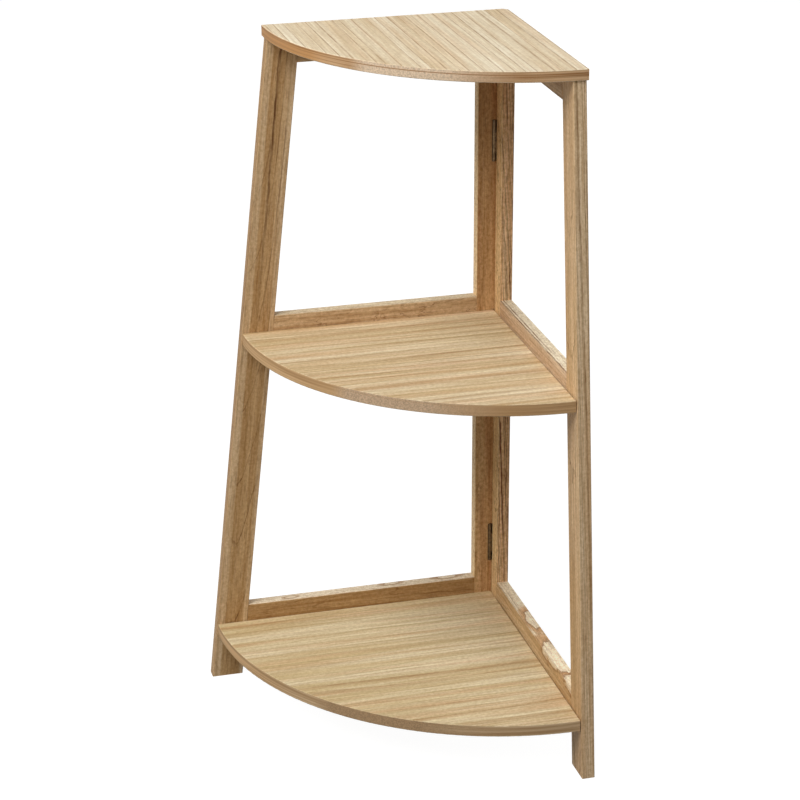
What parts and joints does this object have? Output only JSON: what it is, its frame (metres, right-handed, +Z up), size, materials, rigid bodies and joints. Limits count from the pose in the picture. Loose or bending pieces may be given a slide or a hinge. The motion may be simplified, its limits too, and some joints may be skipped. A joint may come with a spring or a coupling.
{
  "type": "folding corner shelf",
  "caption": "Free-standing wooden corner shelf: two hinged ladder frames with splayed front posts carry quarter-round boards one above the other.",
  "frame": {"origin": "on the floor, under the middle of the whole shelf's box", "axes": "+Z up; X runs along the back frame, from its front post (-X) to the corner (+X); +Y points out of the back frame to the wall; the side frame runs from the corner towards -Y and the open round front faces -X and -Y"},
  "size_m": [0.3726, 0.3726, 0.8],
  "materials": {
    "post_wood": "mid-brown open-grained light wood, long dark grain lines, thin satin lacquer",
    "rail_wood": "same wood as the posts, paler on its upper edge, thin satin lacquer",
    "top_board_wood": "pale cream wood with fine straight grain, edge-glued staves, thin satin lacquer",
    "shelf_board_wood": "honey-coloured streaked wood, layered edge, thin satin lacquer",
    "dowel_wood": "plain turned hardwood, unfinished",
    "aged_brass": "dark aged brass, dull",
    "plate_steel": "zinc-plated sheet steel",
    "screw_steel": "zinc-plated wood screws"
  },
  "bodies": {
    "back_frame": {"back_rear_post": "post_wood", "back_front_post": "post_wood", "back_top_rail": "rail_wood", "back_middle_rail": "rail_wood", "back_bottom_rail": "rail_wood", "back_frame_dowels": "dowel_wood", "top_board_dowels": "dowel_wood", "upper_hinge_fixed_leaf": "aged_brass", "upper_hinge_pin": "aged_brass", "lower_hinge_fixed_leaf": "aged_brass", "lower_hinge_pin": "aged_brass", "hinge_fixed_screws": "aged_brass", "middle_back_rest_rear": "plate_steel", "middle_back_rest_front": "plate_steel", "bottom_back_rest_rear": "plate_steel", "bottom_back_rest_front": "plate_steel", "back_rest_screws": "screw_steel"},
    "side_frame": {"side_rear_post": "post_wood", "side_front_post": "post_wood", "side_top_rail": "rail_wood", "side_middle_rail": "rail_wood", "side_bottom_rail": "rail_wood", "side_frame_dowels": "dowel_wood", "upper_hinge_swing_leaf": "aged_brass", "lower_hinge_swing_leaf": "aged_brass", "hinge_swing_screws": "aged_brass", "middle_side_rest_rear": "plate_steel", "middle_side_rest_front": "plate_steel", "bottom_side_rest_rear": "plate_steel", "bottom_side_rest_front": "plate_steel", "side_rest_screws": "screw_steel"},
    "top_board": {"top_board": "top_board_wood"},
    "middle_board": {"middle_board": "shelf_board_wood"},
    "bottom_board": {"bottom_board": "shelf_board_wood"}
  },
  "joints": [
    {"name": "side_frame_fold", "type": "hinge", "parent": "back_frame", "child": "side_frame", "pos_m": [0.16725, 0.1695, 0.4], "axis": [0, 0, -1], "range_deg": [0, 90]},
    {"name": "top_board_lift", "type": "slide", "parent": "back_frame", "child": "top_board", "axis": [0, 0, 1], "range_m": [0, 0.04]},
    {"name": "middle_board_out", "type": "slide", "parent": "back_frame", "child": "middle_board", "axis": [-1, 0, 0], "range_m": [0, 0.52]},
    {"name": "bottom_board_out", "type": "slide", "parent": "back_frame", "child": "bottom_board", "axis": [-1, 0, 0], "range_m": [0, 0.59]}
  ],
  "couplings": [
    {"joint": "middle_board_out", "follows": "side_frame_fold", "m_per_rad": 0.33},
    {"joint": "bottom_board_out", "follows": "side_frame_fold", "m_per_rad": 0.37}
  ]
}
